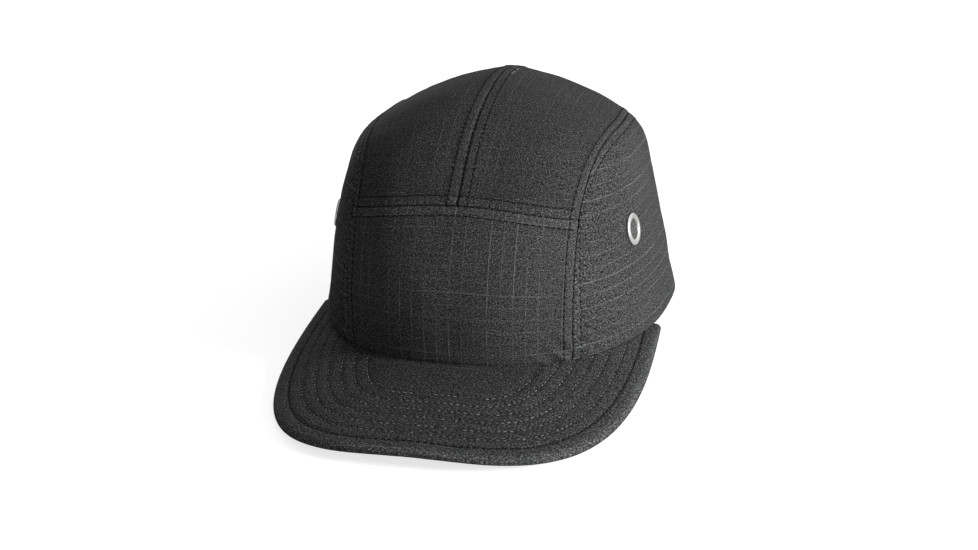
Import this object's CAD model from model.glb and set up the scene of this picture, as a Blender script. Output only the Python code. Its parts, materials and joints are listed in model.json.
import json
import math

import bmesh
import bpy
import numpy as np
from mathutils import Matrix, Vector, noise
from mathutils.bvhtree import BVHTree


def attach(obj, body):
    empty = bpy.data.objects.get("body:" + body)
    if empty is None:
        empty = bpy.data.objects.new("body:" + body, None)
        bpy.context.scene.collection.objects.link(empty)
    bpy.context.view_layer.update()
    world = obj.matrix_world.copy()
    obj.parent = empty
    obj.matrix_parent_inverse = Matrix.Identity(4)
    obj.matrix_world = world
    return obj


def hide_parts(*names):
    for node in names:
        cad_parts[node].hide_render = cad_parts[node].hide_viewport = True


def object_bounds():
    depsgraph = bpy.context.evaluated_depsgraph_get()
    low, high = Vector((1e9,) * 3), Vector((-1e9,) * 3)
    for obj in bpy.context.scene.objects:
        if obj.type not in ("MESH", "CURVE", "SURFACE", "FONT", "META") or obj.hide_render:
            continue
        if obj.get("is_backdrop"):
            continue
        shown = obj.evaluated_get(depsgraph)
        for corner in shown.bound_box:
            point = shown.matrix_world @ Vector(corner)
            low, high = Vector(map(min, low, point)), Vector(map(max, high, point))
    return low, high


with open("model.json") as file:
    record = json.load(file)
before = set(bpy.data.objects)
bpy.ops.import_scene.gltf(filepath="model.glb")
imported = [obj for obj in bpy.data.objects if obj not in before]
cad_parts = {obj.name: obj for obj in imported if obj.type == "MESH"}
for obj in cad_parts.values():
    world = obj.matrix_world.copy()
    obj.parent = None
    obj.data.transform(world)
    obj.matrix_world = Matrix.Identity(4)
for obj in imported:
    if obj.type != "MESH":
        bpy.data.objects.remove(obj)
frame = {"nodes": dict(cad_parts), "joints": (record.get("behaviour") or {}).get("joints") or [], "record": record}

# A five-panel fabric cap with a protective insert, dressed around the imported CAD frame.
# Shapes are worked out in millimetres in the "worn" pose, where the crown's rim lies in the XY
# plane, the wearer faces -Y and +X is the wearer's left. The frame's head_opening mount says how
# that pose is tipped when the cap stands on a table.

CAD_LOW, CAD_HIGH = (corner.copy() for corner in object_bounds())
MM = 0.001
LEFT, RIGHT = 1, -1
SIDE_NAMES = {LEFT: "left", RIGHT: "right"}

OPENING = next(m for m in frame["record"]["mounts"] if m["name"] == "head_opening")
TIP = math.asin(OPENING["axis"][1])
WORN_TO_ROW = Matrix.Rotation(TIP, 4, "X")
TURN = np.array(WORN_TO_ROW.to_3x3())

CROWN_NODES = ["front_panel", "crown_panel_left", "side_panel_left", "crown_panel_right",
               "side_panel_right"]
REAR_Y = 40.0              # everything behind this belongs to the back of the cap

# How the cap is sewn
TOPSTITCH = 4.8            # from a seam to its topstitching
STITCH_PITCH = 3.0
STITCH_LENGTH = 1.9
THREAD_RADIUS = 0.25
FABRIC = 0.64              # the cloth sheets, a little thinner than the CAD's 0.8
BRIM_FIRST_ROW = 6.8
BRIM_ROW_SPACING = 5.8
BRIM_ROWS = 7
BRIM_GRID_ROWS, BRIM_GRID_COLUMNS = 84, 300
BRIM_STITCH = {"pitch": 2.8, "length": 1.7, "radius": 0.2}
RIPSTOP_PITCH = 5.7
HEAD_MIDDLE_Y = 17.0       # the rim is widest here
HEAD_RADIUS = 80.0         # turns an angle round the head into a length of cloth or strap
BAND_STITCHING = 3.0       # from the sweatband's edges to their stitching
RIM_EDGE = -0.35           # the crown's cloth ends this far below the rim, in the brim seam
RIM_CUT = 0.3              # the rim's outline is read at this height
JUST_IN = 0.02             # keeps a reading just inside the panel whose edge it follows


# --- Reading the frame --------------------------------------------------------------------------
def cad_mesh(nodes):
    """Points in worn millimetres, and triangles, of some CAD nodes."""
    points, faces, start = [], [], 0
    for name in nodes:
        mesh = frame["nodes"][name].data
        own = np.array([v.co for v in mesh.vertices]) / MM @ TURN
        faces += [[start + i for i in p.vertices] for p in mesh.polygons]
        points.append(own)
        start += len(own)
    return np.vstack(points), faces


def tree_of(nodes):
    points, faces = cad_mesh(nodes)
    return BVHTree.FromPolygons([Vector(p) for p in points], faces)


def section(nodes, axis, value):
    """Points where the edges of some CAD nodes cross the plane axis = value."""
    points, faces = cad_mesh(nodes)
    triangles = np.array(faces)
    edges = np.vstack([triangles[:, [0, 1]], triangles[:, [1, 2]], triangles[:, [2, 0]]])
    a, b = points[edges[:, 0]], points[edges[:, 1]]
    side_a, side_b = a[:, axis] - value, b[:, axis] - value
    crossing = side_a * side_b < 0
    share = side_a[crossing] / (side_a[crossing] - side_b[crossing])
    return a[crossing] + share[:, None] * (b[crossing] - a[crossing])


CROWN_TREE = tree_of(CROWN_NODES)
CROWN_CENTRE = np.array([0.0, 8.0, 28.0])
BEYOND = 400.0


def cast(tree, origin, direction):
    """Where a ray first meets a tree, or None."""
    hit = tree.ray_cast(Vector(origin), Vector(direction))[0]
    return None if hit is None else np.array(hit)


def onto_crown(points, tolerance=40.0):
    """Moves points of a grid radially onto the crown's outer face, and bridges any hole."""
    flat = points.reshape(-1, 3)
    moved = flat.copy()
    lost = np.zeros(len(flat), bool)
    for i, point in enumerate(flat):
        ray = unit(point - CROWN_CENTRE)
        hit = cast(CROWN_TREE, CROWN_CENTRE + BEYOND * ray, -ray)
        if hit is None or np.linalg.norm(hit - point) > tolerance:
            lost[i] = True
        else:
            moved[i] = hit
    grid = moved.reshape(points.shape)
    return relax(grid, lost.reshape(points.shape[:2]))


def relax(grid, where, rounds=80):
    """Replaces the marked points of a grid by the average of their neighbours, over and over."""
    inner = where[1:-1, 1:-1]
    for _ in range(rounds if inner.any() else 0):
        mean = (grid[:-2, 1:-1] + grid[2:, 1:-1] + grid[1:-1, :-2] + grid[1:-1, 2:]) / 4
        grid[1:-1, 1:-1][inner] = mean[inner]
    return grid


# --- Curves and grids ---------------------------------------------------------------------------
def lengths_along(points):
    steps = np.linalg.norm(np.diff(points, axis=0), axis=1)
    return np.concatenate([[0], np.cumsum(steps)])


def at_length(length, along, values):
    """The values of a polyline's points, read off at a length (or lengths) along it."""
    return np.stack([np.interp(length, along, values[:, k]) for k in range(3)], -1)


def resample(points, shares):
    """Points of a polyline at shares of its length."""
    along = lengths_along(points)
    return at_length(np.asarray(shares) * along[-1], along, points)


def unit(vectors):
    return vectors / np.linalg.norm(vectors, axis=-1, keepdims=True)


def smoothed(path, rounds):
    """A polyline whose inner points are averaged with their neighbours, over and over."""
    path = path.copy()
    for _ in range(rounds):
        path[1:-1] = (path[:-2] + path[1:-1] + path[2:]) / 3
    return path


def graded(length, fine=0.4, coarse=1.5, zone=6.5):
    """Shares from 0 to 1 whose steps are fine near both ends and coarse between them."""
    ends = np.arange(0, zone, fine)
    middle = np.linspace(zone, length - zone, max(2, int((length - 2 * zone) / coarse)))
    return np.concatenate([ends, middle, length - ends[::-1]]) / length


def coons(bottom, top, left, right):
    """A grid [row, column] of points spanned between four curves that meet at their ends."""
    u = (lengths_along(bottom) / lengths_along(bottom)[-1])[None, :, None]
    v = (lengths_along(left) / lengths_along(left)[-1])[:, None, None]
    ruled = (1 - v) * bottom[None] + v * top[None] + (1 - u) * left[:, None] + u * right[:, None]
    corners = ((1 - u) * (1 - v) * bottom[0] + u * (1 - v) * bottom[-1]
               + (1 - u) * v * top[0] + u * v * top[-1])
    return ruled - corners


def grid_normals(grid, outward_from):
    normal = np.cross(np.gradient(grid, axis=1), np.gradient(grid, axis=0))
    normal /= np.maximum(np.linalg.norm(normal, axis=2, keepdims=True), 1e-9)
    flip = np.sign(((grid - outward_from) * normal).sum(2, keepdims=True))
    return normal * np.where(flip.sum() < 0, -1, 1)


def edge_distances(grid):
    """Distance of every grid point from the first and last column and the first and last row."""
    across = np.linalg.norm(np.diff(grid, axis=1), axis=2)
    up = np.linalg.norm(np.diff(grid, axis=0), axis=2)
    from_left = np.pad(np.cumsum(across, 1), ((0, 0), (1, 0)))
    from_bottom = np.pad(np.cumsum(up, 0), ((1, 0), (0, 0)))
    return {
        "left": from_left,
        "right": from_left[:, -1:] - from_left,
        "bottom": from_bottom,
        "top": from_bottom[-1:] - from_bottom,
    }


def smooth_noise(points, size, seed):
    """Smooth noise from about -1 to 1 at each point, with features of the given size."""
    offset = Vector((seed * 17.3, seed * 5.7, seed * 9.1))
    flat = points.reshape(-1, 3) / size
    values = [noise.noise(Vector(p) + offset) for p in flat]
    return np.array(values).reshape(points.shape[:-1]) * 1.6


def step_between(low, high, values):
    t = np.clip((values - low) / (high - low), 0, 1)
    return t * t * (3 - 2 * t)


# --- Making Blender objects ---------------------------------------------------------------------
def to_row(points):
    return np.asarray(points).reshape(-1, 3) @ TURN.T * MM


def make_mesh(name, points, faces, uv=None, wear=None, smooth=True):
    """A mesh from worn millimetres. uv is a point's place on the cloth, in millimetres."""
    mesh = bpy.data.meshes.new(name)
    mesh.from_pydata(to_row(points).tolist(), [], faces)
    mesh.polygons.foreach_set("use_smooth", [smooth] * len(mesh.polygons))
    if uv is not None:
        layer = mesh.uv_layers.new(name="cloth")
        corner = np.empty(len(mesh.loops), int)
        mesh.loops.foreach_get("vertex_index", corner)
        layer.data.foreach_set("uv", np.asarray(uv).reshape(-1, 2)[corner].ravel())
    if wear is not None:
        attribute = mesh.attributes.new("wear", "FLOAT", "POINT")
        attribute.data.foreach_set("value", np.asarray(wear, np.float32).ravel())
    mesh.update()
    obj = bpy.data.objects.new(name, mesh)
    bpy.context.scene.collection.objects.link(obj)
    return obj


def grid_faces(rows, columns, closed=False, flip=False):
    faces = []
    for i in range(rows - 1):
        for j in range(columns if closed else columns - 1):
            k = (j + 1) % columns
            quad = (i * columns + j, i * columns + k, (i + 1) * columns + k, (i + 1) * columns + j)
            faces.append(quad[::-1] if flip else quad)
    return faces


def dress(obj, material, body, slot, *replaced):
    """Gives a finished piece its material, body, slot and the CAD nodes it stands for."""
    obj.data.materials.clear()
    obj.data.materials.append(material)
    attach(obj, body)
    if replaced:
        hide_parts(*replaced)
    return obj


def sheet(name, grid, normals, thickness, uv, wear=None):
    """A cloth sheet with an outer face, an inner face and closed edges."""
    rows, columns = grid.shape[:2]
    count = rows * columns
    outer, inner = grid.reshape(-1, 3), (grid - thickness * normals).reshape(-1, 3)
    probe = np.cross(grid[0, 1] - grid[0, 0], grid[1, 0] - grid[0, 0])
    flip = float(np.dot(probe, normals[0, 0])) < 0
    faces = grid_faces(rows, columns, flip=flip)
    faces += [tuple(count + i for i in f[::-1]) for f in faces]
    loop = (list(range(columns)) + [i * columns + columns - 1 for i in range(1, rows)]
            + [(rows - 1) * columns + j for j in range(columns - 2, -1, -1)]
            + [i * columns for i in range(rows - 2, 0, -1)])
    for a, b in zip(loop, loop[1:] + loop[:1]):
        quad = (b, a, count + a, count + b)
        faces.append(quad[::-1] if flip else quad)
    wear_both = None if wear is None else np.concatenate([wear.ravel(), np.zeros(count)])
    return make_mesh(name, np.vstack([outer, inner]), faces,
                     np.vstack([uv.reshape(-1, 2)] * 2), wear_both)


# --- Stitching ----------------------------------------------------------------------------------
def stitches(path, normals, pitch=STITCH_PITCH, length=STITCH_LENGTH, radius=THREAD_RADIUS, seed=0):
    """Points and faces of separate thread stitches that lie along a path on cloth."""
    along = lengths_along(path)
    random = np.random.default_rng(seed)
    points, faces = [], []
    rings, sides = (-1.0, -0.72, 0.0, 0.72, 1.0), 6
    for i in range(int(along[-1] / pitch)):
        middle = (i + 0.5) * pitch + random.normal(0, 0.05)
        half = length / 2 * (1 + random.normal(0, 0.05))
        start = len(points)
        for t in rings:
            s = middle + t * half
            centre = at_length(s, along, path)
            up = unit(at_length(s, along, normals))
            ahead = at_length(s + 0.3, along, path) - at_length(s - 0.3, along, path)
            across = np.cross(ahead / max(np.linalg.norm(ahead), 1e-9), up)
            plump = radius * (0.35 if abs(t) == 1 else 1.0)
            lift = radius * (0.55 - 0.95 * t * t)
            for k in range(sides):
                a = 2 * math.pi * k / sides
                points.append(centre + up * (lift + plump * math.sin(a)) + across * plump * math.cos(a))
        for r in range(len(rings) - 1):
            for k in range(sides):
                n = (k + 1) % sides
                a, b = start + r * sides, start + (r + 1) * sides
                faces.append((a + k, a + n, b + n, b + k))
        faces.append(tuple(start + k for k in range(sides))[::-1])
        faces.append(tuple(start + (len(rings) - 1) * sides + k for k in range(sides)))
    return points, faces


def stitched(name, lines, material, body, slot, **options):
    """One piece that holds the stitches along several lines of (path, normals)."""
    points, faces = [], []
    for index, (path, normals) in enumerate(lines):
        own_points, own_faces = stitches(path, normals, seed=index + 1, **options)
        faces += [tuple(i + len(points) for i in f) for f in own_faces]
        points += own_points
    obj = make_mesh(name, points, faces)
    return dress(obj, material, body, slot)


def line_at(grid, normals, edge, distance):
    """The line on a grid that keeps a distance from one of its edges."""
    if edge in ("bottom", "top"):
        grid, normals = grid.transpose(1, 0, 2), normals.transpose(1, 0, 2)
    if edge in ("right", "top"):
        grid, normals = grid[:, ::-1], normals[:, ::-1]
    path, ups = [], []
    for row, up in zip(grid, normals):
        along = lengths_along(row)
        path.append(at_length(distance, along, row))
        ups.append(at_length(distance, along, up))
    return np.array(path), np.array(ups)


# --- Materials ----------------------------------------------------------------------------------
class Nodes:
    """A short way to write a procedural material."""

    def __init__(self, name):
        self.material = bpy.data.materials.new(name)
        self.material.use_nodes = True
        self.tree = self.material.node_tree
        self.shader = self.tree.nodes["Principled BSDF"]

    def node(self, kind, inputs=None, **settings):
        made = self.tree.nodes.new(kind)
        for key, value in settings.items():
            setattr(made, key, value)
        for key, value in (inputs or {}).items():
            self.feed(made.inputs[key], value)
        return made

    def feed(self, socket, value):
        if isinstance(value, bpy.types.NodeSocket):
            self.tree.links.new(value, socket)
        else:
            socket.default_value = value

    def math(self, operation, a, b=0.0, c=0.0):
        return self.node("ShaderNodeMath", {0: a, 1: b, 2: c}, operation=operation).outputs[0]

    def noise(self, place, scale, detail=2.0, roughness=0.5):
        made = self.node("ShaderNodeTexNoise", {"Vector": place, "Scale": scale, "Detail": detail,
                                                "Roughness": roughness})
        return made.outputs["Fac"]

    def stretch(self, place, scale, angle=0.0):
        return self.node("ShaderNodeMapping", {"Vector": place, "Scale": scale,
                                               "Rotation": (0, 0, angle)}).outputs[0]

    def tint(self, colour, tone):
        """A colour made lighter or darker by a tone."""
        made = self.node("ShaderNodeVectorMath", {0: colour, "Scale": tone}, operation="SCALE")
        return made.outputs[0]

    def cloth(self):
        """The place on the cloth, in metres, from the map that make_mesh writes."""
        return self.node("ShaderNodeUVMap", uv_map="cloth").outputs[0]

    def place(self):
        """The place on the object, in metres."""
        return self.node("ShaderNodeTexCoord").outputs["Object"]

    def ramp(self, value, low, high, to_low=0.0, to_high=1.0):
        made = self.node("ShaderNodeMapRange", {0: value, 1: low, 2: high, 3: to_low, 4: to_high})
        return made.outputs[0]

    def finish(self, **inputs):
        for key, value in inputs.items():
            self.feed(self.shader.inputs[key.replace("_", " ")], value)
        return self.material

    def bump(self, height, distance, strength=1.0):
        made = self.node("ShaderNodeBump", {"Height": height, "Distance": distance, "Strength": strength})
        return made.outputs[0]


def grey(value, warmth=0.0):
    return (value * (1 + warmth), value, value * (1 - warmth))


def ripstop(name, level, fineness=1.0, turn=0.0, warp_lines=1.0, weft_lines=1.0):
    """Plain-weave cotton with a coarse grid of doubled threads. The cloth map is in metres."""
    n = Nodes(name)
    cloth = n.stretch(n.cloth(), (1, 1, 1), turn)
    axes = n.node("ShaderNodeSeparateXYZ", {0: cloth}).outputs
    lines = []
    for k in range(2):
        place = n.math("DIVIDE", axes[k], RIPSTOP_PITCH * MM)
        near = n.math("ABSOLUTE", n.math("SUBTRACT", n.math("FRACT", place), 0.5))
        line = n.ramp(near, 0.425, 0.475)
        index = n.math("FLOOR", n.math("ADD", place, 0.5 + 31 * k))
        pick = n.node("ShaderNodeTexWhiteNoise", {"W": index}, noise_dimensions="1D").outputs[0]
        fade = n.noise(cloth, 28.0 + 9 * k, 2.0)
        line = n.math("MULTIPLY", line, n.ramp(pick, 0.2, 1.0, 0.22, 0.9))
        lines.append(n.math("MULTIPLY", line, n.ramp(fade, 0.38, 0.6, 0.25, 1.0)))
    lines = [n.math("MULTIPLY", line, weight) for line, weight in zip(lines, (warp_lines, weft_lines))]
    grid = n.math("MAXIMUM", *lines)
    warp = n.noise(n.stretch(cloth, (1, 0.3, 1)), 2300.0, 1.0)
    weft = n.noise(n.stretch(cloth, (0.3, 1, 1)), 2300.0, 1.0)
    speck = n.noise(cloth, 2500.0 * fineness, 2.0, 0.8)
    slub = n.noise(cloth, 1600.0 * fineness, 1.0, 0.6)
    glint = n.ramp(n.noise(cloth, 2000.0 * fineness, 0.0), 0.6, 0.72, 0.0, 2.6)
    cloud = n.noise(cloth, 22.0, 3.0)
    threads = n.math("MULTIPLY", n.math("ADD", warp, weft), 0.16)
    grain = n.math("ADD", n.math("MULTIPLY", speck, 0.4), n.math("MULTIPLY", slub, 0.28))
    weave = n.math("ADD", threads, grain)
    wear = n.node("ShaderNodeAttribute", attribute_name="wear").outputs["Fac"]
    tone = n.math("ADD", n.ramp(weave, 0.43, 0.57, 0.0, 1.75), glint)
    tone = n.math("MULTIPLY", tone, n.ramp(cloud, 0.3, 0.7, 0.92, 1.08))
    tone = n.math("ADD", tone, grid)
    tone = n.math("MULTIPLY", tone, n.ramp(wear, -1.0, 1.0, 0.2, 1.8))
    height = n.math("ADD", n.math("MULTIPLY", weave, 0.5), n.math("MULTIPLY", grid, 0.5))
    return n.finish(Base_Color=n.tint(grey(level, -0.012), tone), Roughness=0.85,
                    Normal=n.bump(height, 0.0003), IOR=1.12)


def thread(name, level):
    n = Nodes(name)
    place = n.place()
    island = n.node("ShaderNodeNewGeometry").outputs["Random Per Island"]
    twist = n.noise(n.stretch(place, (1, 1, 1), 0.6), 2600.0, 1.0)
    tone = n.math("MULTIPLY", n.ramp(island, 0, 1, 0.35, 1.8), n.ramp(twist, 0.3, 0.7, 0.7, 1.3))
    return n.finish(Base_Color=n.tint(grey(level), tone), Roughness=0.8, Normal=n.bump(twist, 0.0001),
                    IOR=1.15)


def knit(name, level, scale=900.0):
    """Soft knitted or brushed cloth, without a cloth map."""
    n = Nodes(name)
    place = n.place()
    flattened = n.stretch(place, (1, 1, 0.6))
    loops = n.node("ShaderNodeTexVoronoi", {"Vector": flattened, "Scale": scale}).outputs[0]
    fuzz = n.noise(place, scale * 1.7, 3.0, 0.7)
    cloud = n.noise(place, 35.0, 3.0)
    tone = n.math("MULTIPLY", n.ramp(loops, 0.0, 0.7, 1.25, 0.6), n.ramp(fuzz, 0.3, 0.7, 0.8, 1.25))
    tone = n.math("MULTIPLY", tone, n.ramp(cloud, 0.3, 0.7, 0.88, 1.1))
    height = n.math("SUBTRACT", n.math("MULTIPLY", fuzz, 0.4), loops)
    return n.finish(Base_Color=n.tint(grey(level), tone), Roughness=0.9, Normal=n.bump(height, 0.0003),
                    Sheen_Weight=0.2, Specular_IOR_Level=0.2)


def webbing(name, level):
    """Ribbed webbing: fine ribs across the strap and a twill along it, by the cloth map."""
    n = Nodes(name)
    cloth = n.cloth()
    ribs = n.node("ShaderNodeTexWave", {"Vector": cloth, "Scale": 190.0, "Distortion": 0.4, "Detail": 1.0},
                  bands_direction="X").outputs["Fac"]
    twill = n.node("ShaderNodeTexWave", {"Vector": cloth, "Scale": 150.0, "Distortion": 0.6},
                   bands_direction="DIAGONAL").outputs["Fac"]
    fuzz = n.noise(cloth, 1600.0, 3.0, 0.7)
    weave = n.math("ADD", n.math("MULTIPLY", ribs, 0.6), n.math("MULTIPLY", twill, 0.4))
    tone = n.math("MULTIPLY", n.ramp(weave, 0, 1, 0.65, 1.25), n.ramp(fuzz, 0.3, 0.7, 0.75, 1.3))
    return n.finish(Base_Color=n.tint(grey(level), tone), Roughness=0.75, Normal=n.bump(weave, 0.0004),
                    Sheen_Weight=0.1)


def metal(name, level, rough, brushed):
    n = Nodes(name)
    place = n.place()
    pull, scale = (14, 700.0) if brushed else (1, 260.0)
    grain = n.noise(n.stretch(place, (1, 1, pull)), scale, 4.0, 0.6)
    smear = n.noise(place, 120.0, 3.0)
    tone = n.ramp(smear, 0.3, 0.7, 0.86, 1.05)
    edge = n.node("ShaderNodeNewGeometry").outputs["Pointiness"]
    shine = n.math("SUBTRACT", n.ramp(grain, 0.3, 0.7, rough * 0.75, rough * 1.35),
                   n.ramp(edge, 0.52, 0.62, 0.0, rough * 0.4))
    return n.finish(Base_Color=n.tint(grey(level, 0.01), tone), Metallic=1.0, Roughness=shine,
                    Normal=n.bump(grain, 0.00004))


def moulded(name, level, blue=0.0):
    """Moulded plastic with a fine spark-eroded texture and a little scuffing."""
    n = Nodes(name)
    place = n.place()
    texture = n.noise(place, 1300.0, 4.0, 0.6)
    scuff = n.noise(n.stretch(place, (1, 5, 1), 0.5), 160.0, 5.0, 0.7)
    cloud = n.noise(place, 25.0, 2.0)
    base = (level * (1 - blue), level, level * (1 + blue))
    tone = n.math("ADD", n.ramp(cloud, 0.3, 0.7, 0.92, 1.08), n.ramp(scuff, 0.66, 0.78, 0.0, 0.35))
    return n.finish(Base_Color=n.tint(base, tone), Roughness=n.ramp(scuff, 0.4, 0.75, 0.42, 0.62),
                    Normal=n.bump(texture, 0.00012))


def paper_floor():
    """White paper, lit mostly from within where the camera sees it, so shadows on it stay light."""
    n = Nodes("floor_white")
    tone = n.ramp(n.noise(n.place(), 9.0, 3.0), 0.3, 0.7, 0.985, 1.0)
    seen = n.node("ShaderNodeLightPath").outputs["Is Camera Ray"]
    return n.finish(Base_Color=n.tint((0.42, 0.42, 0.42), tone), Roughness=0.9, Specular_IOR_Level=0.1,
                    Emission_Color=(1, 1, 1, 1), Emission_Strength=n.math("MULTIPLY", seen, 0.74))


FRONT_CLOTH = ripstop("ripstop_front", 0.026, 0.9, warp_lines=1.5, weft_lines=1.5)
CROWN_CLOTH = ripstop("ripstop_crown", 0.022, 0.72)
SIDE_CLOTH = ripstop("ripstop_side", 0.026, 0.78, warp_lines=0.5, weft_lines=3.0)
BRIM_CLOTH = ripstop("ripstop_brim", 0.022, 0.74, turn=math.radians(3), warp_lines=0.4)
BLACK_THREAD = thread("black_thread", 0.003)
BRIM_THREAD = thread("brim_thread", 0.085)
TAPE_CLOTH = webbing("tape_cloth", 0.03)
BAND_CLOTH = knit("band_cloth", 0.035)
FOAM_CLOTH = knit("foam_cloth", 0.07, 700.0)
STRAP_CLOTH = webbing("strap_webbing", 0.035)
BRIGHT_METAL = metal("bright_nickel", 0.82, 0.2, brushed=False)
SATIN_METAL = metal("satin_nickel", 0.42, 0.4, brushed=True)
DARK_WIRE = metal("dark_wire", 0.09, 0.6, brushed=False)
SHELL_PLASTIC = moulded("shell_plastic", 0.05, 0.25)
BOARD_PLASTIC = moulded("board_plastic", 0.6)


# --- Seam curves of the crown, read from the panels ---------------------------------------------
def wall_point(x, z):
    """The front wall's outer face at X and Z."""
    return cast(CROWN_TREE, (x, -BEYOND, z), (0, 1, 0))


def front_side_seam(edge_x):
    """From the rim up to the corner of the front, crown and side panels."""
    front, _ = cad_mesh(["front_panel"])
    corner_z = front[front[:, 0] > edge_x - 0.03][:, 2].max()
    return np.array([wall_point(edge_x, z) for z in np.linspace(RIM_CUT, corner_z - JUST_IN, 30)])


def cross_seam(edge_x):
    """Along the front panel's upper edge, from the middle to the corner."""
    path = []
    for x in np.linspace(0, edge_x, 40):
        top = section(["front_panel"], 0, x + 0.001)[:, 2].max()
        path.append(wall_point(x, top - JUST_IN))
    return np.array(path)


def arch_curve():
    """The edge of the rear opening, from the rim up to the centre seam."""
    path = []
    for z in np.linspace(0.5, 49.0, 60):
        rear = section(["crown_panel_left", "side_panel_left"], 2, z)
        rear = rear[rear[:, 1] > REAR_Y]
        if len(rear):
            path.append(cast(CROWN_TREE, (rear[:, 0].min() + JUST_IN, BEYOND, z), (0, -1, 0)))
    path = [hit for hit in path if hit is not None and hit[1] > REAR_Y]
    crown, _ = cad_mesh(["crown_panel_left"])
    top = crown[(crown[:, 0] < 1.5) & (crown[:, 1] > REAR_Y)][:, 2].min()
    path.append(cast(CROWN_TREE, (JUST_IN, BEYOND, top + JUST_IN), (0, -1, 0)))
    return np.array(path)


def upper_side_seam(corner):
    """From the corner over the side of the crown to its back."""
    crown, _ = cad_mesh(["crown_panel_left"])
    path = [corner]
    for y in np.linspace(corner[1] + 1.5, crown[:, 1].max() - 0.6, 120):
        x = section(["crown_panel_left"], 1, y)[:, 0].max() - JUST_IN
        hit = cast(CROWN_TREE, (x, y, BEYOND), (0, 0, -1))
        if hit is not None and hit[2] > 10:
            path.append(hit)
    return np.array(path)


def centre_seam(start, end):
    """Over the top, from the front panel to the rear opening, just beside X = 0."""
    low, high = (math.atan2(p[2] - CROWN_CENTRE[2], p[1] - CROWN_CENTRE[1]) for p in (start, end))
    path = []
    for a in np.linspace(low, high, 160):
        ray = np.array([0, math.cos(a), math.sin(a)])
        path.append(cast(CROWN_TREE, CROWN_CENTRE + BEYOND * ray + (JUST_IN, 0, 0), -ray))
    path[0], path[-1] = start, end
    return np.array(path)


def rim_side_curve(start, end):
    """Round the rim, from the front panel's edge to the rear opening."""
    begin, stop = (math.atan2(p[0], HEAD_MIDDLE_Y - p[1]) for p in (start, end))
    path = []
    for a in np.linspace(begin, stop, 140):
        ray = np.array([math.sin(a), -math.cos(a), 0])
        path.append(cast(CROWN_TREE, np.array([0, HEAD_MIDDLE_Y, RIM_CUT]) + BEYOND * ray, -ray))
    path[0], path[-1] = start, end
    return np.array(path)


def seam_curves():
    """The seams of the left half of the crown, each a dense polyline on its outer face."""
    edge_x = cad_mesh(["front_panel"])[0][:, 0].max() - JUST_IN
    front_side, cross, arch = front_side_seam(edge_x), cross_seam(edge_x), arch_curve()
    upper = upper_side_seam(cross[-1])
    split = int(np.argmin(np.linalg.norm(arch - upper[-1], axis=1)))
    curves = {
        "front_side": front_side,
        "cross": cross,
        "upper_side": np.vstack([upper, arch[split]]),
        "arch_low": arch[:split + 1],
        "arch_high": arch[split:],
        "centre": centre_seam(cross[0], arch[-1]),
        "rim_side": rim_side_curve(front_side[0], arch[0]),
        "rim_front": np.array([wall_point(x, RIM_CUT) for x in np.linspace(0, edge_x, 40)]),
    }
    for name in ("rim_side", "rim_front"):
        curves[name][:, 2] = RIM_EDGE
    curves["front_side"][0, 2] = curves["arch_low"][0, 2] = RIM_EDGE
    return curves


def mirrored(points):
    return points * np.array([-1.0, 1.0, 1.0])


def on_side(points, hand):
    """Points of the left half of the cap, moved to the side that is wanted."""
    return points if hand == LEFT else mirrored(points)


def both_sides(half):
    """A curve from the middle to the left, lengthened to run from right to left."""
    return np.vstack([mirrored(half)[::-1], half[1:]])


def patch(bottom, top, left, right):
    """A grid on the crown spanned by four of its curves, with fine rows and columns at the seams."""
    width = max(lengths_along(bottom)[-1], lengths_along(top)[-1])
    height = max(lengths_along(left)[-1], lengths_along(right)[-1])
    u, v = graded(width), graded(height)
    curves = [resample(bottom, u), resample(top, u), resample(left, v), resample(right, v)]
    grid = coons(*curves)
    grid[1:-1, 1:-1] = onto_crown(grid[1:-1, 1:-1])
    return relax(grid, np.ones(grid.shape[:2], bool), rounds=8)


# --- Cloth relief -------------------------------------------------------------------------------
def ridge(distance, middle, width):
    """A smooth bump of height 1 round a distance."""
    return np.exp(-((distance - middle) / width) ** 2)


def seam_relief(distance, along, seed):
    """Height and wear of cloth near a topstitched seam, by distance from it and place along it."""
    groove = -0.3 * ridge(distance, 0, 0.42)
    beyond = step_between(TOPSTITCH, TOPSTITCH + 1.6, distance)
    allowance = 0.24 * step_between(0.2, 1.2, distance) * (1 - beyond)
    pull = 0.72 + 0.28 * np.cos(2 * math.pi * along / STITCH_PITCH)
    stitch = -0.3 * ridge(distance, TOPSTITCH, 0.5) * pull
    wobble = np.sin(along / 3.1 + seed) * np.sin(along / 7.7 + 2 * seed)
    pucker = 0.16 * wobble * ridge(distance, 0, 9.0) * step_between(0.5, 3.0, distance)
    wear = (0.4 * ridge(distance, 1.3, 0.7) + 0.22 * ridge(distance, TOPSTITCH - 1.4, 0.9)
            - 0.6 * ridge(distance, 0, 0.35) - 0.45 * ridge(distance, TOPSTITCH, 0.45))
    return groove + allowance + stitch + pucker, wear


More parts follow.
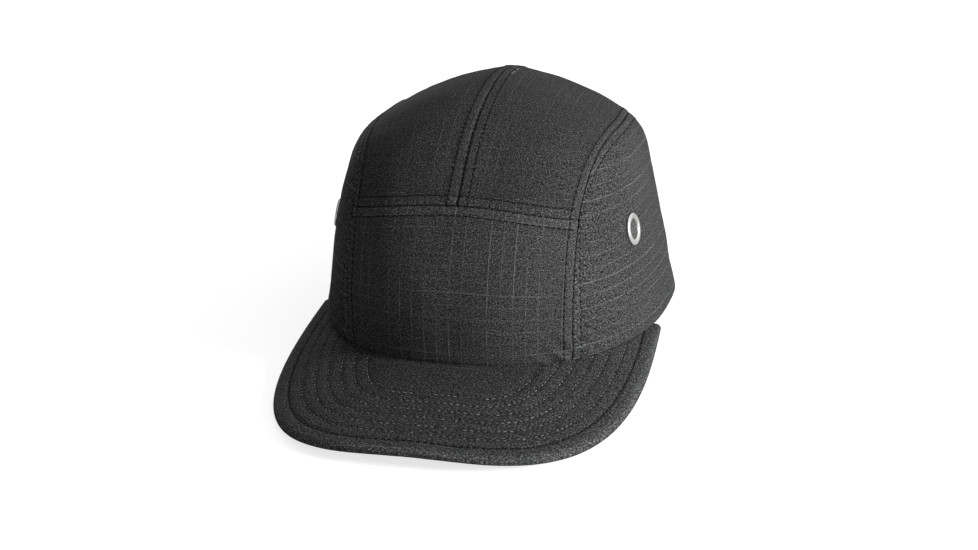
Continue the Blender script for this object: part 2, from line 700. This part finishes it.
def relief(grid, edges, seed):
    """Displacement and wear of a crown panel. edges maps each edge name to seam, rim or arch."""
    distances = edge_distances(grid)
    height = 0.55 * smooth_noise(grid, 38.0, seed) + 0.22 * smooth_noise(grid, 13.0, seed + 3)
    height += 0.07 * smooth_noise(grid, 4.5, seed + 6)
    nearest = np.minimum.reduce(list(distances.values()))
    height *= step_between(0.0, 14.0, nearest)
    for name, kind in edges.items():
        if kind == "arch":
            height *= step_between(12.0, 45.0, distances[name])
    wear = np.zeros(nearest.shape)
    for name, kind in edges.items():
        distance = distances[name]
        along = distances["bottom" if name in ("left", "right") else "left"]
        if kind == "seam":
            lift, worn = seam_relief(distance, along, seed + len(name))
        elif kind == "rim":
            lift = -0.9 * ridge(distance, 0, 1.3) + 0.18 * ridge(distance, 4, 3.0)
            worn = 0.35 * ridge(distance, 1.6, 1.0)
        else:
            lift = worn = 0
        height = height + lift
        wear = wear + worn
    return height, np.clip(wear, -1, 1)


def gathers(grid, place, direction, spread, depth, pitch):
    """Small folds that fan out from one place, such as where a seam is pulled tight."""
    offset = grid - np.asarray(place, float)
    reach = np.linalg.norm(offset, axis=2)
    along = offset @ np.asarray(direction, float)
    return depth * np.sin(2 * math.pi * along / pitch) * ridge(reach, 0, spread)


def cloth_map(grid):
    """Each point's place on the cloth: lengths along the middle row and middle column."""
    rows, columns = grid.shape[:2]
    u = lengths_along(grid[rows // 2])
    v = lengths_along(grid[:, columns // 2])
    return np.stack(np.broadcast_arrays(u[None, :], v[:, None]), 2) * MM


def level_map(grid):
    """Each point's place on cloth whose threads run level round the head: girth and height."""
    angle = np.arctan2(grid[..., 0], HEAD_MIDDLE_Y - grid[..., 1])
    return np.stack([HEAD_RADIUS * angle, grid[..., 2]], 2) * MM


def crown_panel(name, node, grid, edges, seed, cloth, place=cloth_map, folds=None, calm_at=None):
    normals = grid_normals(grid, CROWN_CENTRE)
    height, wear = relief(grid, edges, seed)
    if folds is not None:
        height = height + folds
    if calm_at is not None:
        reach = np.linalg.norm(grid - calm_at, axis=2)
        height = height * step_between(8.0, 14.0, reach)
    shaped = grid + normals * height[..., None]
    final_normals = grid_normals(shaped, CROWN_CENTRE)
    obj = sheet(name, shaped, normals, FABRIC, place(grid), wear)
    dress(obj, cloth, "cap", "ripstop_fabric", node)
    return shaped, final_normals


def panel_topstitching(shaped, normals, edges, ditch=()):
    """Stitching lines along a panel's seams, and in the ditch of the seams named."""
    lines = [line_at(shaped, normals, name, TOPSTITCH) for name in edges if edges[name] == "seam"]
    return lines + [line_at(shaped, normals, name, 0.05) for name in ditch]


FRONT_EDGES = {"left": "seam", "right": "seam", "top": "seam", "bottom": "rim"}
CROWN_EDGES = {"left": "seam", "right": "seam", "bottom": "seam", "top": "arch"}
SIDE_EDGES = {"left": "seam", "top": "seam", "bottom": "rim", "right": "arch"}


def build_front_panel(c):
    grid = patch(both_sides(c["rim_front"]), both_sides(c["cross"]), mirrored(c["front_side"]),
                 c["front_side"])
    folds = gathers(grid, c["front_side"][0] + (-8, 0, 4), (0.75, 0, 0.66), 9.0, 0.8, 6.5)
    shaped, ups = crown_panel("front_panel_fabric", "front_panel", grid, FRONT_EDGES, 1, FRONT_CLOTH,
                              folds=folds)
    return panel_topstitching(shaped, ups, FRONT_EDGES)


def build_crown_panel(grid, hand):
    """A panel over the top. The ditch of the centre seam, its left edge, is sewn only once."""
    node = f"crown_panel_{SIDE_NAMES[hand]}"
    shaped, ups = crown_panel(f"{node}_fabric", node, grid, CROWN_EDGES, 10 + hand, CROWN_CLOTH)
    ditch = ["left", "bottom", "right"] if hand == LEFT else ["bottom", "right"]
    return panel_topstitching(shaped, ups, CROWN_EDGES, ditch)


def build_side_panel(grid, corner, hand):
    label = SIDE_NAMES[hand]
    folds = gathers(grid, corner + (hand * 5, 4, 9), (0.2 * hand, 0.5, 0.8), 9.0, 0.5, 6.0)
    eyelet = cad_mesh([f"eyelet_screen_{label}"])[0].mean(0)
    shaped, ups = crown_panel(f"side_panel_{label}_fabric", f"side_panel_{label}", grid, SIDE_EDGES,
                              20 + hand, SIDE_CLOTH, level_map, folds, eyelet)
    return panel_topstitching(shaped, ups, SIDE_EDGES, ["left"])


def build_crown(c):
    """The five sewn panels and their topstitching."""
    lines = build_front_panel(c)
    top = patch(c["cross"], c["arch_high"][::-1], c["centre"], c["upper_side"])
    side = patch(c["rim_side"], c["upper_side"], c["front_side"], c["arch_low"])
    for hand in (LEFT, RIGHT):
        lines += build_crown_panel(on_side(top, hand), hand)
        lines += build_side_panel(on_side(side, hand), on_side(c["front_side"][0], hand), hand)
    stitched("crown_topstitching", lines, BLACK_THREAD, "cap", "seam_tape")


# --- Brim ---------------------------------------------------------------------------------------
def convex_outline(points):
    """The convex outline of points seen from above, counter-clockwise. Of points that share a
    place in plan, the first in the given order is kept."""
    order = np.lexsort((points[:, 1], points[:, 0]))
    chains = []
    for run in (order, order[::-1]):
        chain = []
        for i in run:
            while len(chain) > 1:
                a = points[chain[-1], :2] - points[chain[-2], :2]
                b = points[i, :2] - points[chain[-1], :2]
                if a[0] * b[1] - a[1] * b[0] > 1e-9:
                    break
                chain.pop()
            chain.append(i)
        chains += chain[:-1]
    return points[chains]


def brim_edge(node, pick):
    """The brim's outline from the wearer's right end round the front to the left end."""
    points, _ = cad_mesh([node])
    outline = convex_outline(points)
    ends = outline[:, 1].max() - 12.0
    outline = outline[(outline[:, 1] < ends) | (np.abs(outline[:, 0]) > outline[:, 0].max() - 4.5)]
    start = int(np.argmax(np.where(outline[:, 0] < 0, outline[:, 1], -BEYOND)))
    outline = np.roll(outline, -start, axis=0)
    heights = []
    for x, y, _ in outline:
        same = np.hypot(points[:, 0] - x, points[:, 1] - y) < 0.02
        heights.append(pick(points[same, 2]))
    outline[:, 2] = heights
    return outline


def rim_root(rim, end_y, inset=2.2):
    """The line where the brim is sewn under the rim, from right to left, up to the brim's ends."""
    path = rim[rim[:, 1] < end_y]
    tangent = unit(np.gradient(path, axis=0))
    inward = np.stack([-tangent[:, 1], tangent[:, 0], tangent[:, 0] * 0], 1)
    return path + inset * inward


def brim_relief(distance, plan, along, seed):
    """Quilting between the rows of stitching, and the rolled band along the edge."""
    last = BRIM_FIRST_ROW + BRIM_ROW_SPACING * (BRIM_ROWS - 1)
    band = 0.28 * np.sin(math.pi * np.clip((distance - 0.3) / (BRIM_FIRST_ROW - 0.3), 0, 1)) ** 0.7
    phase = (distance - BRIM_FIRST_ROW) / BRIM_ROW_SPACING
    quilt = 0.26 * np.abs(np.sin(math.pi * phase)) ** 0.7
    quilt *= (distance > BRIM_FIRST_ROW) * (1 - step_between(last - 0.2, last + 0.2, distance))
    plain = 0.22 * step_between(last, last + 4, distance)
    nearest_row = BRIM_FIRST_ROW + BRIM_ROW_SPACING * np.clip(np.round(phase), 0, BRIM_ROWS - 1)
    pull = 0.7 + 0.3 * np.cos(2 * math.pi * along / STITCH_PITCH)
    groove = -0.34 * ridge(distance, nearest_row, 0.5) * pull
    flat = np.dstack([plan, plan[..., 0] * 0])
    cloth = 0.16 * smooth_noise(flat, 22.0, seed) + 0.1 * smooth_noise(flat, 7.0, seed + 1)
    wear = (0.6 * ridge(distance, 0.8, 1.6) + 0.22 * (distance < BRIM_FIRST_ROW)
            - 0.75 * ridge(distance, nearest_row, 0.45)
            + 0.12 * np.clip(np.sin(math.pi * phase), 0, 1) * (distance < last))
    return band + quilt + plain + groove + cloth, wear


def brim_grid(edge, root, roll, face):
    """A grid from the brim's edge to its root, and the drop of each of its rounded first rows."""
    turns = np.linspace(0, math.pi / 2, 7)[:-1]
    around = roll * (1 - np.cos(turns))
    drop = roll * (1 - np.sin(turns))
    grid = np.zeros((BRIM_GRID_ROWS + len(turns), len(edge), 3))
    for j, length in enumerate(np.linalg.norm(root - edge, axis=1)):
        reach = max(length, 2 * roll)
        shares = np.concatenate([around, np.linspace(roll, reach, BRIM_GRID_ROWS)]) / reach
        grid[:, j] = edge[j] + shares[:, None] * (root[j] - edge[j])
    grid[:len(turns), :, 2] -= face * drop[:, None]
    return grid, drop


def distance_from(outline, plan):
    """How far each point, seen from above, lies from the brim's edge."""
    samples = resample(outline, np.linspace(0, 1, 700))[:, :2]
    parts = np.array_split(plan.reshape(-1, 2), 40)
    nearest = [np.linalg.norm(part[:, None] - samples[None], axis=2).min(1) for part in parts]
    return np.concatenate(nearest).reshape(plan.shape[:2])


def brim_rows(distance, shaped, ups):
    """The brim's rows of stitching, each a path and the cloth's normals along it."""
    lines = []
    for wanted in BRIM_FIRST_ROW + BRIM_ROW_SPACING * np.arange(BRIM_ROWS):
        reached = [j for j in range(distance.shape[1]) if distance[:, j].max() > wanted]
        lines.append([np.array([at_length(wanted, distance[:, j], values[:, j]) for j in reached])
                      for values in (shaped, ups)])
    return lines


def brim_cover(name, node, outline, root, face, roll, seed):
    """One cloth cover of the brim, upper (face 1) or lower (face -1), rolled over the edge."""
    shares = np.linspace(0, 1, BRIM_GRID_COLUMNS)
    edge, inner = resample(outline, shares), resample(root, shares)
    inner[:, 2] = -0.1 if face > 0 else -0.1 - 2 * roll
    grid, drop = brim_grid(edge, inner, roll, face)
    plan = grid[..., :2]
    distance = distance_from(outline, plan)
    along = np.broadcast_to(lengths_along(edge)[None], distance.shape)
    behind = (0, -60, -BEYOND * face)
    normals = grid_normals(grid, behind)
    height, wear = brim_relief(distance, plan, along, seed)
    shaped = grid + normals * (height * step_between(0, 2.5, distance))[..., None]
    outward = (edge - inner)[:, :2] / np.linalg.norm(inner - edge, axis=1)[:, None]
    uv = plan.copy()
    uv[:len(drop)] += outward[None] * drop[:, None, None]
    obj = sheet(name, shaped, normals, FABRIC, uv * MM, np.clip(wear, -1, 1))
    dress(obj, BRIM_CLOTH, "cap", "ripstop_fabric", node)
    return brim_rows(distance, shaped, grid_normals(shaped, behind))


def build_brim(curves):
    rim = np.vstack([mirrored(curves["rim_side"])[::-1], mirrored(curves["rim_front"])[::-1],
                     curves["rim_front"][1:], curves["rim_side"][1:]])
    top = brim_edge("brim_top_cover", np.max)
    under = brim_edge("brim_under_cover", np.min)
    roll = (top[len(top) // 2, 2] - under[len(under) // 2, 2]) / 2
    root = rim_root(rim, top[0, 1] + 2.0)
    lines = brim_cover("brim_top_cloth", "brim_top_cover", top, root, 1, roll, 41)
    stitched("brim_edge_stitching", lines[:1], BLACK_THREAD, "cap", "ripstop_fabric")
    stitched("brim_topstitching", lines[1:], BRIM_THREAD, "cap", "ripstop_fabric", **BRIM_STITCH)
    lines = brim_cover("brim_under_cloth", "brim_under_cover", under, root, -1, roll, 47)
    stitched("brim_under_stitching", lines, BRIM_THREAD, "cap", "ripstop_fabric", **BRIM_STITCH)


# --- Sweatband and rim --------------------------------------------------------------------------
def ring_point(tree, angle, z):
    """The inner face of a ring-shaped node, seen from the middle of the head opening."""
    ray = np.array([math.sin(angle), -math.cos(angle), 0])
    return cast(tree, (0, CROWN_CENTRE[1], z), ray)


def band_grid():
    """A grid on the sweatband's inner face, as far round as the CAD's band reaches."""
    tree = tree_of(["sweatband"])
    points, _ = cad_mesh(["sweatband"])
    low, high = points[:, 2].min() + 0.15, points[:, 2].max() - 0.15
    middle = (low + high) / 2
    reach = max(a for a in np.linspace(0, math.pi, 400) if ring_point(tree, a, middle) is not None) - 0.01
    heights = low + (high - low) * graded(high - low, fine=0.8, coarse=1.5, zone=5.0)
    heights = np.clip(heights, low, high)
    columns = np.linspace(-reach, reach, 420)
    return np.array([[ring_point(tree, a, z) for a in columns] for z in heights])


def build_sweatband():
    grid = band_grid()
    low, high = grid[0, 0, 2], grid[-1, 0, 2]
    inside = (0, CROWN_CENTRE[1], (low + high) / 2)
    normals = -grid_normals(grid, inside)
    distances = edge_distances(grid)
    along, above = distances["left"], distances["bottom"]
    ruffle = np.sin(along / 2.3 + 2 * np.sin(along / 11.0)) * np.sin(along / 6.1)
    height = 0.22 * ruffle * ridge(above, 0, 9.0) + 0.25 * smooth_noise(grid, 16.0, 71)
    height += 0.3 * np.sin(math.pi * above / (high - low))
    for edge in ("bottom", "top"):
        height -= 0.3 * ridge(distances[edge], BAND_STITCHING, 0.5)
    shaped = grid + normals * height[..., None]
    obj = sheet("sweatband_cloth", shaped, normals, 1.0, np.stack([along, above], 2) * MM)
    dress(obj, BAND_CLOTH, "cap", "sweatband_fabric", "sweatband")
    ups = -grid_normals(shaped, inside)
    lines = [line_at(shaped, ups, edge, BAND_STITCHING) for edge in ("bottom", "top")]
    stitched("sweatband_stitching", lines, BLACK_THREAD, "cap", "sweatband_fabric")
    build_rim_fold(grid[2] - normals[2] * 0.9, low, along[0])


def build_rim_fold(start, low, along):
    """The tape that closes the gap between the sweatband's lower edge and the crown."""
    wall = np.array([crown_wall_at(p) for p in start])
    turns = np.linspace(0, 1, 9)
    fold = start + (wall - start) * turns[:, None, None]
    fold[..., 2] = low - 0.45 * np.sin(math.pi * turns)[:, None]
    downwards = np.broadcast_to([0, 0, -1.0], fold.shape)
    uv = np.stack(np.broadcast_arrays(along[None], 4 * turns[:, None]), 2) * MM
    obj = sheet("rim_fold", fold, downwards, 0.5, uv)
    dress(obj, TAPE_CLOTH, "cap", "sweatband_fabric")


def crown_wall_at(point):
    """The inner face of the crown, level with and outside a point of the sweatband."""
    ray = unit(np.array([point[0], point[1] - CROWN_CENTRE[1], 0]))
    hit = cast(CROWN_TREE, (point[0], point[1], 1.0), ray)
    return point + 2.5 * ray if hit is None else hit - 0.25 * ray


# --- Tapes and the bound edge of the rear arch --------------------------------------------------
def surface_normals(path):
    """The crown's outward normals along a path, smoothed where it has edges."""
    ups = []
    for p in path:
        up, out = np.array(CROWN_TREE.find_nearest(Vector(p))[1]), unit(p - CROWN_CENTRE)
        ups.append(out if np.dot(up, out) < 0.35 else up)
    return unit(smoothed(np.array(ups), 6))


def frames_along(path):
    """Outward normals and cross directions along a seam."""
    tangent = unit(np.gradient(path, axis=0))
    up = surface_normals(path)
    up = unit(up - (up * tangent).sum(1, keepdims=True) * tangent)
    return up, np.cross(up, tangent)


def swept(name, path, profile, node):
    """A closed profile of (across, out) points carried along a path on the crown, as tape."""
    path = resample(path, np.linspace(0, 1, max(8, int(lengths_along(path)[-1] / 1.2))))
    up, across = frames_along(path)
    rings = np.array([[p + a * x + u * y for x, y in profile] for p, a, u in zip(path, across, up)])
    rows, columns = rings.shape[:2]
    faces = grid_faces(rows, columns, closed=True)
    faces += [tuple(range(columns))[::-1], tuple((rows - 1) * columns + k for k in range(columns))]
    along, around = lengths_along(path) * MM, np.linspace(0, 0.02, columns)
    uv = np.stack([np.repeat(along, columns), np.tile(around, rows)], 1)
    obj = make_mesh(name, rings, faces, uv)
    dress(obj, TAPE_CLOTH, "cap", "seam_tape", node)


def rounded_strip(half_width, out, thickness):
    """A flat strip's profile with rounded edges, whose inner side lies at a height out."""
    half = thickness / 2
    points = []
    for side in (1, -1):
        for k in range(5):
            turn = math.pi / 2 - math.pi * k / 4
            x = side * (half_width - half + half * math.cos(turn))
            points.append((x, out + half + half * math.sin(side * turn)))
    return points


def build_tapes(curves):
    tape = rounded_strip(4.9, -1.75, 0.5)
    above_band = curves["front_side"][curves["front_side"][:, 2] > 36.0]
    side = np.vstack([above_band, curves["upper_side"][1:-6]])
    swept("front_seam_binding", both_sides(curves["cross"])[4:-4], tape, "front_seam_tape")
    swept("centre_seam_binding", curves["centre"][6:-6], tape, "centre_seam_tape")
    for hand, label in SIDE_NAMES.items():
        swept(f"side_seam_binding_{label}", on_side(side, hand), tape, f"side_seam_tape_{label}")


# The arch's tape, cut across: from its outer edge over the fold to its inner edge
ARCH_FOLD = [(-4.0, 0.1), (-4.1, 0.45), (-3.6, 0.68), (-2.0, 0.75), (-0.4, 0.72), (0.35, 0.4),
             (0.6, -0.3), (0.35, -1.0), (-0.4, -1.35), (-3.8, -1.35), (-4.0, -1.0)]


def build_arch(curves):
    """The folded tape round the rear opening, with its row of stitching."""
    half = np.vstack([curves["arch_low"], curves["arch_high"][1:]])
    path = np.vstack([half, mirrored(half)[::-1][1:]])
    path = smoothed(resample(path[path[:, 2] > 2.2], np.linspace(0, 1, 160)), 4)
    up, across = frames_along(path)
    inward = np.sign(np.dot(across[len(path) // 2], (0, 0, -1)))
    swept("rear_arch_cloth", path, [(x * inward, y) for x, y in ARCH_FOLD], "rear_arch_binding")
    line = path - across * inward * 3.0 + up * 0.72
    stitched("rear_arch_stitching", [(line, up)], BLACK_THREAD, "cap", "seam_tape")


# --- Rear strap ---------------------------------------------------------------------------------
def band_radius(points, radius, z):
    """The middle radius of a conical band at one height, and its thickness."""
    near = radius[np.abs(points[:, 2] - z) < 0.01]
    return (near.max() + near.min()) / 2, near.max() - near.min()


def band_piece(name, node, body):
    """Webbing in the place of a CAD band that runs round the back on a cone."""
    joint = next(j for j in frame["joints"] if j["name"] == "strap_adjust")
    axis_at = np.array(joint["pos_m"]) / MM @ TURN
    points, _ = cad_mesh([node])
    flat = points - axis_at
    angle, radius = np.arctan2(flat[:, 0], flat[:, 1]), np.hypot(flat[:, 0], flat[:, 1])
    low, high = points[:, 2].min(), points[:, 2].max()
    low_radius, thickness = band_radius(points, radius, low)
    high_radius, _ = band_radius(points, radius, high)
    half = thickness / 2
    turns = np.linspace(angle.min(), angle.max(), int(np.ptp(angle) * HEAD_RADIUS / 0.7))
    heights = low + (high - low) * graded(high - low, fine=0.45, coarse=1.1, zone=2.0)
    rings = []
    for i, a in enumerate(turns):
        ring = []
        rib = 0.05 * math.sin(2 * math.pi * i / 3)
        for face in (1, -1):
            for z in heights[::face]:
                edge = max(min(z - low, high - z), 0.02)
                swell = min(half, half * min(1.0, math.sqrt(edge / 0.8)) + rib)
                r = low_radius + (high_radius - low_radius) * (z - low) / (high - low) + face * swell
                ring.append(axis_at + (r * math.sin(a), r * math.cos(a), z - axis_at[2]))
        rings.append(ring)
    count, columns = len(rings), len(rings[0])
    faces = grid_faces(count, columns, closed=True, flip=True)
    faces += [tuple(range(columns)), tuple((count - 1) * columns + k for k in range(columns))[::-1]]
    along = np.repeat((turns - turns[0]) * HEAD_RADIUS, columns)
    around = np.tile(np.concatenate([heights, heights[::-1]]), count)
    obj = make_mesh(name, rings, faces, np.stack([along, around], 1) * MM)
    dress(obj, STRAP_CLOTH, body, "strap_webbing", node)


# --- Eyelets ------------------------------------------------------------------------------------
def outward_axis(node):
    """The axis of a flat round node, pointing out of the crown."""
    points, _ = cad_mesh([node])
    _, _, directions = np.linalg.svd(points - points.mean(0), full_matrices=False)
    axis = directions[2]
    middle = (points.min(0) + points.max(0)) / 2
    return axis * np.sign(np.dot(axis, middle - CROWN_CENTRE))


def plane_axes(axis):
    """Two directions square to an axis and to each other, the first of them level."""
    side = unit(np.cross(axis, (0, 0, 1.0)))
    return side, np.cross(side, axis)


def lathe(name, centre, axis, profile, turns=56):
    """A closed profile of (radius, height) turned about an axis."""
    side, up = plane_axes(axis)
    rings = []
    for k in range(turns):
        a = 2 * math.pi * k / turns
        out = side * math.cos(a) + up * math.sin(a)
        rings.append([centre + out * r + axis * h for r, h in profile])
    columns = len(profile)
    faces = []
    for i in range(turns):
        j = (i + 1) % turns
        for k in range(columns):
            m = (k + 1) % columns
            faces.append((i * columns + k, j * columns + k, j * columns + m, i * columns + m))
    return make_mesh(name, rings, faces)


def tube(path, radius, sides=6):
    """Points and faces of a thin round wire."""
    path = np.asarray(path)
    tangent = np.gradient(path, axis=0)
    points = []
    for p, t in zip(path, tangent):
        a = unit(np.cross(t, (0.31, 0.52, 0.79)))
        b = unit(np.cross(t, a))
        for k in range(sides):
            turn = 2 * math.pi * k / sides
            points.append(p + radius * (a * math.cos(turn) + b * math.sin(turn)))
    return points, grid_faces(len(path), sides, closed=True)


def wire_mesh(name, centre, axis, radius, spacing=0.6, wire=0.16):
    """Woven wire that fills a circle."""
    side, up = plane_axes(axis)
    points, faces = [], []
    count = int(radius / spacing)
    for first, second, phase in ((side, up, 0), (up, side, 1)):
        for i in range(-count, count + 1):
            offset = i * spacing
            half = math.sqrt(max(radius**2 - offset**2, 0.05))
            steps = np.linspace(-half, half, max(6, int(4 * half / spacing)))
            wave = wire * np.cos(math.pi * (steps / spacing + i + phase))
            path = [centre + first * s + second * offset + axis * w for s, w in zip(steps, wave)]
            own, own_faces = tube(path, wire)
            faces += [tuple(k + len(points) for k in f) for f in own_faces]
            points += own
    return make_mesh(name, points, faces)


def punch(obj, centre, axis, radius):
    """Removes a sheet's faces inside a cylinder, where an eyelet covers the raw edge."""
    mesh = bmesh.new()
    mesh.from_mesh(obj.data)
    doomed = []
    for face in mesh.faces:
        offset = np.array(face.calc_center_median()) / MM @ TURN - centre
        flat = offset - np.dot(offset, axis) * axis
        if np.linalg.norm(flat) < radius and abs(np.dot(offset, axis)) < 10:
            doomed.append(face)
    bmesh.ops.delete(mesh, geom=doomed, context="FACES")
    mesh.to_mesh(obj.data)
    mesh.free()


def build_eyelet(label):
    ring, screen = f"eyelet_ring_{label}", f"eyelet_screen_{label}"
    hub = cad_mesh([screen])[0].mean(0)
    axis = outward_axis(screen)
    offsets = cad_mesh([ring])[0] - hub
    heights = offsets @ axis
    radii = np.linalg.norm(offsets - heights[:, None] * axis, axis=1)
    inner, outer = radii.min(), radii.max()
    top, bottom = heights.max(), heights.min()
    crest = [(inner + (outer - inner) * (0.5 - 0.5 * math.cos(t)), top * (0.15 + 0.85 * math.sin(t) ** 0.8))
             for t in np.linspace(0.12, math.pi - 0.12, 13)]
    barrel = inner + 0.6
    profile = [(inner, bottom), (inner, 0.0)] + crest + [(outer, -0.12), (barrel, -0.12), (barrel, bottom)]
    obj = lathe(f"eyelet_rim_{label}", hub, axis, profile)
    dress(obj, BRIGHT_METAL, "cap", "eyelet_metal", ring)
    obj = wire_mesh(f"eyelet_mesh_{label}", hub, axis, inner + 0.15)
    dress(obj, DARK_WIRE, "cap", "eyelet_mesh", screen)
    punch(bpy.data.objects[f"side_panel_{label}_fabric"], hub, axis, inner + 0.9)


# --- Foam pads ----------------------------------------------------------------------------------
def active(obj):
    bpy.ops.object.select_all(action="DESELECT")
    obj.select_set(True)
    bpy.context.view_layer.objects.active = obj


def apply_modifier(obj, kind, **settings):
    modifier = obj.modifiers.new(kind.lower(), kind)
    for key, value in settings.items():
        setattr(modifier, key, value)
    active(obj)
    bpy.ops.object.modifier_apply(modifier=modifier.name)


def puff(obj, cap, frames=16):
    """Cloth under slight pressure, so that foam covered in cloth looks filled."""
    scene = bpy.context.scene
    before = np.array([v.co for v in obj.data.vertices])
    modifier = obj.modifiers.new("cloth", "CLOTH")
    modifier.settings.use_pressure = True
    modifier.settings.uniform_pressure_force = 4.0
    modifier.settings.effector_weights.gravity = 0.0
    modifier.settings.quality = 4
    modifier.point_cache.frame_start, modifier.point_cache.frame_end = 1, frames
    for step in range(1, frames + 1):
        scene.frame_set(step)
    active(obj)
    bpy.ops.object.modifier_apply(modifier=modifier.name)
    scene.frame_set(1)
    after = np.array([v.co for v in obj.data.vertices])
    move = after - before
    size = np.linalg.norm(move, axis=1, keepdims=True)
    move *= np.minimum(1, cap * MM / np.maximum(size, 1e-9))
    obj.data.vertices.foreach_set("co", (before + move).astype(np.float32).ravel())
    obj.data.update()


def build_pads():
    for node in ("front_pad", "rear_pad", "side_pad_left", "side_pad_right", "crown_pad"):
        points, faces = cad_mesh([node])
        obj = make_mesh(f"{node}_foam", points, faces)
        apply_modifier(obj, "REMESH", mode="VOXEL", voxel_size=1.5 * MM)
        apply_modifier(obj, "SMOOTH", factor=0.5, iterations=6)
        puff(obj, 0.35)
        apply_modifier(obj, "SMOOTH", factor=0.5, iterations=2)
        obj.data.polygons.foreach_set("use_smooth", [True] * len(obj.data.polygons))
        dress(obj, FOAM_CLOTH, "insert", "foam", node)


# --- Hard parts that stay as the frame has them -------------------------------------------------
def finish_cad_parts():
    finishes = {
        "brim_board": BOARD_PLASTIC,
        "protective_shell": SHELL_PLASTIC,
        "buckle_frame": SATIN_METAL,
        "buckle_lever": SATIN_METAL,
        "buckle_pin": SATIN_METAL,
        "eyelet_washer_left": BRIGHT_METAL,
        "eyelet_washer_right": BRIGHT_METAL,
    }
    for node, material in finishes.items():
        data = frame["nodes"][node].data
        data.materials.clear()
        data.materials.append(material)


CURVES = seam_curves()
build_crown(CURVES)
build_brim(CURVES)
build_sweatband()
build_tapes(CURVES)
build_arch(CURVES)
band_piece("strap_band", "strap", "strap")
band_piece("strap_anchor_band", "strap_anchor", "cap")
for label in SIDE_NAMES.values():
    build_eyelet(label)
build_pads()
finish_cad_parts()


# --- Floor, light and camera --------------------------------------------------------------------
SURROUND_DARK_SIDE = 0.0
SURROUND_LIGHT_SIDE = 1.2


def make_floor():
    low = min((WORN_TO_ROW @ Vector((0, 0, 0))).z, CAD_LOW.z)
    size = 6.0
    mesh = bpy.data.meshes.new("floor")
    mesh.from_pydata([(-size, -size, low), (size, -size, low), (size, size, low), (-size, size, low)],
                     [], [(0, 1, 2, 3)])
    floor = bpy.data.objects.new("floor", mesh)
    floor.data.materials.append(paper_floor())
    bpy.context.scene.collection.objects.link(floor)
    floor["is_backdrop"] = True


def area_light(name, place, target, size, power):
    light = bpy.data.lights.new(name, "AREA")
    light.shape = "DISK"
    light.size = size
    light.energy = power
    obj = bpy.data.objects.new(name, light)
    obj.location = place
    obj.rotation_euler = (Vector(target) - Vector(place)).to_track_quat("-Z", "Y").to_euler()
    bpy.context.scene.collection.objects.link(obj)


def make_lights():
    """A white surround that the camera sees as white, but that lights the cap from its left side
    more than from its right, a broad key light on the same side, and a weaker one behind."""
    world = bpy.data.worlds.new("studio")
    world.use_nodes = True
    tree = world.node_tree
    direction = tree.nodes.new("ShaderNodeTexCoord")
    axes = tree.nodes.new("ShaderNodeSeparateXYZ")
    slope = tree.nodes.new("ShaderNodeMapRange")
    slope.inputs["From Min"].default_value = -1.0
    slope.inputs["To Min"].default_value = SURROUND_DARK_SIDE
    slope.inputs["To Max"].default_value = SURROUND_LIGHT_SIDE
    rays = tree.nodes.new("ShaderNodeLightPath")
    strength = tree.nodes.new("ShaderNodeMix")
    strength.inputs[3].default_value = 1.0
    background = tree.nodes["Background"]
    background.inputs["Color"].default_value = (1, 1, 1, 1)
    tree.links.new(direction.outputs["Generated"], axes.inputs[0])
    tree.links.new(axes.outputs["X"], slope.inputs["Value"])
    tree.links.new(rays.outputs["Is Camera Ray"], strength.inputs[0])
    tree.links.new(slope.outputs["Result"], strength.inputs[2])
    tree.links.new(strength.outputs[0], background.inputs["Strength"])
    bpy.context.scene.world = world
    area_light("key", (1.2, -0.33, 0.45), (0, 0, 0.05), 0.4, 33.0)
    area_light("back", (-0.85, 1.2, 0.4), (0, 0, 0.05), 0.8, 8.0)


def make_camera():
    """The camera stands ahead of the cap, a little to the wearer's left and above the rim."""
    azimuth, elevation = math.radians(13.0), math.radians(15.3)
    distance, focus = 0.785, Vector((0, 0, 0.040))
    ahead = Vector((-math.sin(azimuth) * math.cos(elevation), math.cos(azimuth) * math.cos(elevation),
                    -math.sin(elevation)))
    right = Vector((math.cos(azimuth), math.sin(azimuth), 0))
    up = right.cross(ahead)
    turn = Matrix((right, up, -ahead)).transposed().to_4x4()
    camera = bpy.data.cameras.new("camera")
    camera.sensor_width = 36.0
    camera.lens = 58.5
    camera.shift_x = -0.0123
    camera.shift_y = -0.0585
    obj = bpy.data.objects.new("camera", camera)
    obj.matrix_world = WORN_TO_ROW @ Matrix.Translation(focus - distance * ahead) @ turn
    bpy.context.scene.collection.objects.link(obj)
    bpy.context.scene.camera = obj


bpy.context.scene.view_settings.view_transform = "Standard"
make_floor()
make_lights()
make_camera()
